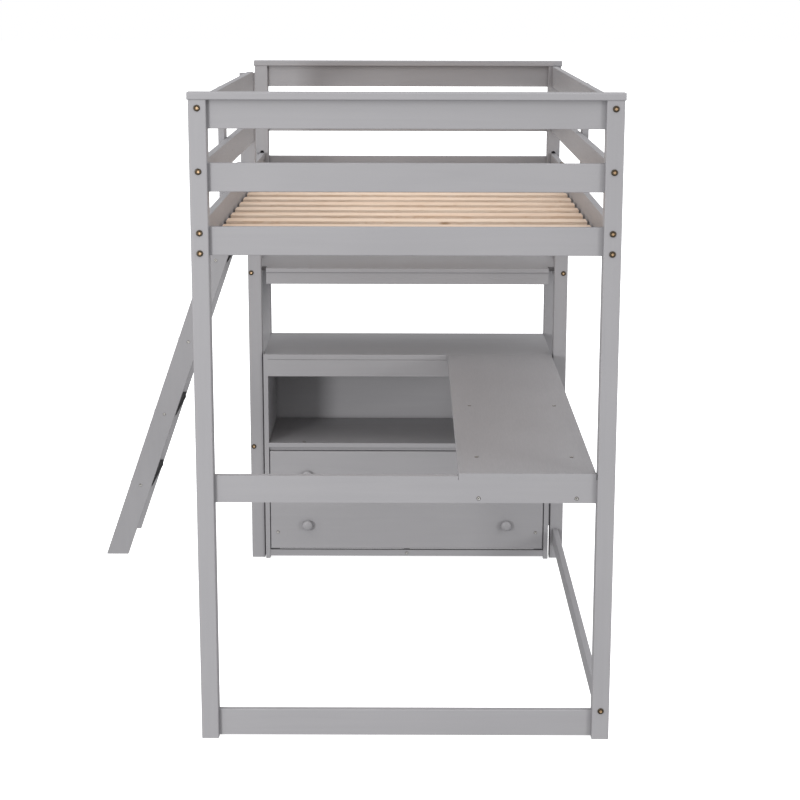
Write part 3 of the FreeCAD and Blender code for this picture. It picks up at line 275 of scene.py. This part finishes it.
def long_axis(node):
    """Axis of a node's longest edge that lies along an axis, or of its box if it has none."""
    mesh = NODES[node].data
    longest, best = 0.0, "x"
    for edge in mesh.edges:
        a, b = (mesh.vertices[i].co for i in edge.vertices)
        step = b - a
        for letter, part in zip("xyz", step):
            if abs(part) > 0.999 * step.length and step.length > longest:
                longest, best = step.length, letter
    if longest > 0.0:
        return best
    low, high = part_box(node)
    return "xyz"[max(range(3), key=lambda i: (high - low)[i])]


def finish_of(node, number):
    if SLOTS[node] in PLAIN_FINISHES:
        return PLAIN_FINISHES[SLOTS[node]]
    return paint_for(long_axis(node), number % PAINT_TONES)


def dress(node, number):
    """Material, smooth shading and softened edges for a carried-over part."""
    thing = NODES[node]
    material = finish_of(node, number)
    thing.data.materials.clear()
    thing.data.materials.append(material)
    for face in thing.data.polygons:
        face.material_index = 0
        face.use_smooth = True
    if SLOTS[node] in ("grey_paint", "bare_pine"):
        soften = thing.modifiers.new("soft_edges", "BEVEL")
        soften.width = EDGE_ROUND
        soften.segments = 2
        soften.limit_method = "ANGLE"
        soften.angle_limit = SHARP_ANGLE
        soften.harden_normals = True


for number, node in enumerate(sorted(NODES)):
    dress(node, number)


# ---- fasteners ----------------------------------------------------------------------
def islands(node):
    """Groups of corner points, one group for each separate solid of a node."""
    mesh = NODES[node].data
    owner = list(range(len(mesh.vertices)))

    def root(i):
        while owner[i] != i:
            owner[i] = owner[owner[i]]
            i = owner[i]
        return i

    for edge in mesh.edges:
        a, b = root(edge.vertices[0]), root(edge.vertices[1])
        if a != b:
            owner[max(a, b)] = min(a, b)
    groups = {}
    for i, vertex in enumerate(mesh.vertices):
        groups.setdefault(root(i), []).append(vertex.co.copy())
    return list(groups.values())


def merged_islands(node):
    """Islands of one solid can be split by its sharp edges; join those whose boxes touch."""
    boxes = []
    for points in islands(node):
        low = Vector(min(p[k] for p in points) for k in range(3))
        high = Vector(max(p[k] for p in points) for k in range(3))
        boxes.append([low, high, points])
    merged = True
    while merged:
        merged = False
        for i in range(len(boxes)):
            for j in range(i + 1, len(boxes)):
                a, b = boxes[i], boxes[j]
                if all(a[0][k] <= b[1][k] + TOUCH and b[0][k] <= a[1][k] + TOUCH for k in range(3)):
                    a[0] = Vector(min(a[0][k], b[0][k]) for k in range(3))
                    a[1] = Vector(max(a[1][k], b[1][k]) for k in range(3))
                    a[2] += b[2]
                    boxes.pop(j)
                    merged = True
                    break
            if merged:
                break
    return boxes


def shank_frames(node):
    """Head's seat, shank direction, shank length, head radius and head height of each fastener."""
    found = []
    for low, high, points in merged_islands(node):
        size = high - low
        k = max(range(3), key=lambda i: size[i])
        middle = (low + high) / 2
        radius = max(size[(k + 1) % 3], size[(k + 2) % 3]) / 2

        def off_axis(p):
            return math.hypot(*(p[i % 3] - middle[i % 3] for i in (k + 1, k + 2)))

        wide = [p[k] for p in points if off_axis(p) > 0.98 * radius]
        along = Vector((0.0, 0.0, 0.0))
        head_low, head_high = min(wide), max(wide)
        if sum(wide) / len(wide) < middle[k]:
            along[k] = 1.0
            seat, tip, outer = head_high, high[k], low[k]
        else:
            along[k] = -1.0
            seat, tip, outer = head_low, low[k], high[k]
        start = middle.copy()
        start[k] = seat
        found.append((start, along, abs(tip - seat), radius, abs(seat - outer)))
    return found


def hexagon(across):
    """Radius of a hexagonal socket at an angle."""
    return lambda turn: across / 2 / math.cos((turn + math.pi / 6) % (math.pi / 3) - math.pi / 6)


def cross(arm, half):
    """Radius of a cross-shaped recess at an angle."""
    def radius(turn):
        lean = abs((turn + math.pi / 4) % (math.pi / 2) - math.pi / 4)
        if math.tan(lean) <= half / arm:
            return arm / math.cos(lean)
        return half / math.sin(lean)
    return radius


def ring(build, turn_to, radius, depth, count):
    """Closed ring of points; radius is a number or a rule of the angle."""
    row = []
    for n in range(count):
        turn = TURN * n / count
        r = radius(turn) if callable(radius) else radius
        row.append(build.verts.new(turn_to @ Vector((r * math.cos(turn), r * math.sin(turn), depth))))
    return row


def skin(build, rows, finishes):
    """Faces between neighbouring rings and over both ends; finishes holds one slot per band."""
    count = len(rows[0])
    for a, b, finish in zip(rows, rows[1:], finishes):
        for i in range(count):
            j = (i + 1) % count
            face = build.faces.new((a[i], a[j], b[j], b[i]))
            face.smooth = True
            face.material_index = finish
    build.faces.new(list(reversed(rows[0]))).material_index = finishes[0]
    build.faces.new(rows[-1]).material_index = finishes[-1]


def add_piece(build, node, name, mesh_name, body, finishes):
    """Turns a build into a piece that rides on a body and stands in for a CAD node."""
    bmesh.ops.recalc_face_normals(build, faces=build.faces)
    mesh = bpy.data.meshes.new(mesh_name)
    build.to_mesh(mesh)
    build.free()
    for finish in finishes:
        mesh.materials.append(finish)
    thing = bpy.data.objects.new(name, mesh)
    bpy.context.scene.collection.objects.link(thing)
    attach(thing, body)
    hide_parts(node)


def fasteners(node, name, body, recess, depth, shank_share, count, rounding, finishes,
              rim_finish, face_finish, socket_finish):
    """Turned heads with a driver recess on plain shanks, at a CAD node's places."""
    build = bmesh.new()
    for number, (start, along, reach, radius, high) in enumerate(shank_frames(node)):
        spin = Matrix.Rotation(SPIN_STEP * number, 4, "Z")
        facing = along.to_track_quat("Z", "Y").to_matrix().to_4x4()
        turn_to = Matrix.Translation(start) @ facing @ spin
        shank = radius * shank_share
        rows = [ring(build, turn_to, shank * 0.35, reach, count),
                ring(build, turn_to, shank, reach - shank, count),
                ring(build, turn_to, shank, 0.0, count),
                ring(build, turn_to, radius, 0.0, count)]
        for n in range(ROUND_STEPS):
            lean = math.pi / 2 * n / (ROUND_STEPS - 1)
            rows.append(ring(build, turn_to, radius - rounding * (1.0 - math.cos(lean)),
                             -high + rounding * (1.0 - math.sin(lean)), count))
        rows.append(ring(build, turn_to, recess, -high, count))
        rows.append(ring(build, turn_to, recess, -high + depth, count))
        skin(build, rows, [0, 0, 0] + [rim_finish] * ROUND_STEPS + [face_finish, socket_finish])
    add_piece(build, node, name, name, body, finishes)


SCREWS = {"wood_screws": "bed_frame", "upper_drawer_screws": "upper_drawer",
          "lower_drawer_screws": "lower_drawer"}
# screws: painted shade on the rounded rim and in the cross recess, bright steel only on the face
for node, body in SCREWS.items():
    fasteners(node, node.replace("screws", "cross_screws"), body, cross(CROSS_ARM, CROSS_HALF),
              CROSS_DEEP, SCREW_SHANK, SCREW_SIDES, SCREW_ROUND, (STEEL, PAINTED_SHADE_METAL),
              rim_finish=1, face_finish=0, socket_finish=1)
# bolts: painted shade on the rim and face of the head, round a bright yellow-zinc socket
fasteners("frame_bolts", "socket_bolts", "bed_frame", hexagon(SOCKET_ACROSS), SOCKET_DEEP,
          BOLT_SHANK, BOLT_SIDES, BOLT_ROUND, (YELLOW_ZINC, PAINTED_SHADE_METAL),
          rim_finish=1, face_finish=1, socket_finish=0)


# ---- turned knobs -------------------------------------------------------------------
def turned_knobs(node, body):
    """Lathe-turned wooden knobs with a waisted neck and a domed face."""
    build = bmesh.new()
    for low, high, _ in merged_islands(node):
        long = high.y - low.y
        wide = (high.x - low.x) / 2
        neck = KNOB_NECK * wide
        seat = Vector(((low.x + high.x) / 2, high.y, (low.z + high.z) / 2))
        turn_to = Matrix.Translation(seat) @ Matrix.Rotation(math.pi / 2, 4, "X")
        rows = [ring(build, turn_to, neck, 0.0, KNOB_SIDES)]
        for n in range(1, FLARE_STEPS + 1):
            lean = n / FLARE_STEPS * math.pi / 2
            radius = neck + (wide * KNOB_FLARE - neck) * (1.0 - math.cos(lean))
            depth = long * (0.12 + 0.40 * math.sin(lean))
            rows.append(ring(build, turn_to, radius, depth, KNOB_SIDES))
        for n in range(CROWN_STEPS + 1):
            lean = (-CROWN_DIP + (1.0 + CROWN_DIP) * n / CROWN_STEPS) * math.pi / 2
            radius = max(wide * max(math.cos(lean), 0.0) ** 0.8, 0.02 * wide)
            depth = long * (0.68 + 0.32 * math.sin(lean))
            rows.append(ring(build, turn_to, radius, depth, KNOB_SIDES))
        skin(build, rows, [0] * (len(rows) - 1))
    add_piece(build, node, node.replace("knobs", "turned_knobs"), node + "_turned", body,
              (paint_for("y", 2),))


turned_knobs("upper_drawer_knobs", "upper_drawer")
turned_knobs("lower_drawer_knobs", "lower_drawer")


# ---- stage, lights and camera ------------------------------------------------------
def stage_floor():
    """Wide white floor that glows, so that it reads as an evenly lit studio sweep."""
    build = bmesh.new()
    build.faces.new([build.verts.new((x * FLOOR_HALF, y * FLOOR_HALF, 0.0))
                     for x, y in ((-1, -1), (1, -1), (1, 1), (-1, 1))])
    mesh = bpy.data.meshes.new("studio_floor")
    build.to_mesh(mesh)
    build.free()
    floor = bpy.data.objects.new("studio_floor", mesh)
    bpy.context.scene.collection.objects.link(floor)
    material, tree, shader = new_material("studio_floor")
    plain = stretched_coords(tree)
    cloud = noise(tree, plain, 0.6, 1.0)
    shade = ramp(tree, cloud, ((0.3, (0.86, 0.86, 0.86)), (0.7, (0.88, 0.88, 0.88))))
    tree.links.new(shade, shader.inputs["Base Color"])
    shader.inputs["Roughness"].default_value = 0.9
    shader.inputs["Specular IOR Level"].default_value = 0.0
    shader.inputs["Emission Color"].default_value = (1.0, 1.0, 1.0, 1.0)
    shader.inputs["Emission Strength"].default_value = FLOOR_GLOW
    mesh.materials.append(material)
    # the floor is seen but lights nothing: the world's lower half does that evenly
    floor.visible_diffuse = False
    floor.visible_glossy = False
    floor.visible_shadow = False


def studio_world(below, horizon, low_sky, zenith):
    """Grey dome, bright overhead, with a white line at the horizon where the floor ends."""
    world = bpy.data.worlds.new("studio")
    world.use_nodes = True
    tree = world.node_tree
    back = tree.nodes["Background"]
    coords = tree.nodes.new("ShaderNodeTexCoord")
    split = tree.nodes.new("ShaderNodeSeparateXYZ")
    tree.links.new(coords.outputs["Generated"], split.inputs["Vector"])
    height = rescale(tree, split.outputs["Z"], 0.0, 1.0, -1.0, 1.0)
    levels = ((0.44, below), (0.484, horizon), (0.514, horizon), (0.53, low_sky), (0.64, low_sky),
              (0.84, zenith))
    shade = ramp(tree, height, [(at, (v, v, v * 1.012)) for at, v in levels])
    tree.links.new(shade, back.inputs["Color"])
    back.inputs["Strength"].default_value = 1.0
    bpy.context.scene.world = world


def softbox(name, place, power):
    """Square lamp at a place, turned to the middle of the bed frame."""
    lamp = bpy.data.lights.new(name, "AREA")
    lamp.energy = power
    lamp.size = BOX_WIDE
    thing = bpy.data.objects.new(name, lamp)
    place, aim = Vector(place), Vector((MIDDLE_X, 0.4, 0.8))
    thing.rotation_euler = (place - aim).to_track_quat("Z", "Y").to_euler()
    thing.location = place
    bpy.context.scene.collection.objects.link(thing)


def camera():
    """Long lens a little above the bed, looking down the length of the frame."""
    data = bpy.data.cameras.new("view")
    data.sensor_width = 36.0
    data.lens = 82.81
    data.shift_x = -0.0082
    data.shift_y = -0.0162
    data.clip_end = 200.0
    thing = bpy.data.objects.new("view", data)
    yaw, pitch, roll = math.radians(-0.128), math.radians(12.279), math.radians(0.119)
    ahead = Vector((math.sin(yaw) * math.cos(pitch), math.cos(yaw) * math.cos(pitch),
                    -math.sin(pitch)))
    right = Vector((math.cos(yaw), -math.sin(yaw), 0.0))
    up = right.cross(ahead)
    right_rolled = right * math.cos(roll) + up * math.sin(roll)
    up_rolled = up * math.cos(roll) - right * math.sin(roll)
    turn = Matrix((right_rolled, up_rolled, -ahead)).transposed()
    thing.matrix_world = Matrix.Translation((MIDDLE_X + 0.0118, -5.4676, 1.9084)) @ turn.to_4x4()
    bpy.context.scene.collection.objects.link(thing)
    bpy.context.scene.camera = thing


# middle of the bed itself, which stands to the right of the origin because of the ladder
POST_LOW, POST_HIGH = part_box("near_top_rail")
MIDDLE_X = (POST_LOW.x + POST_HIGH.x) / 2
stage_floor()
studio_world(SKY_BELOW, SKY_HORIZON, SKY_LOW, SKY_ZENITH)
softbox("left_box", (MIDDLE_X - 3.25, -5.2, 1.45), LEFT_POWER)
softbox("right_box", (MIDDLE_X + 4.1, -4.2, 1.5), RIGHT_POWER)
camera()
bpy.context.scene.view_settings.view_transform = "Standard"
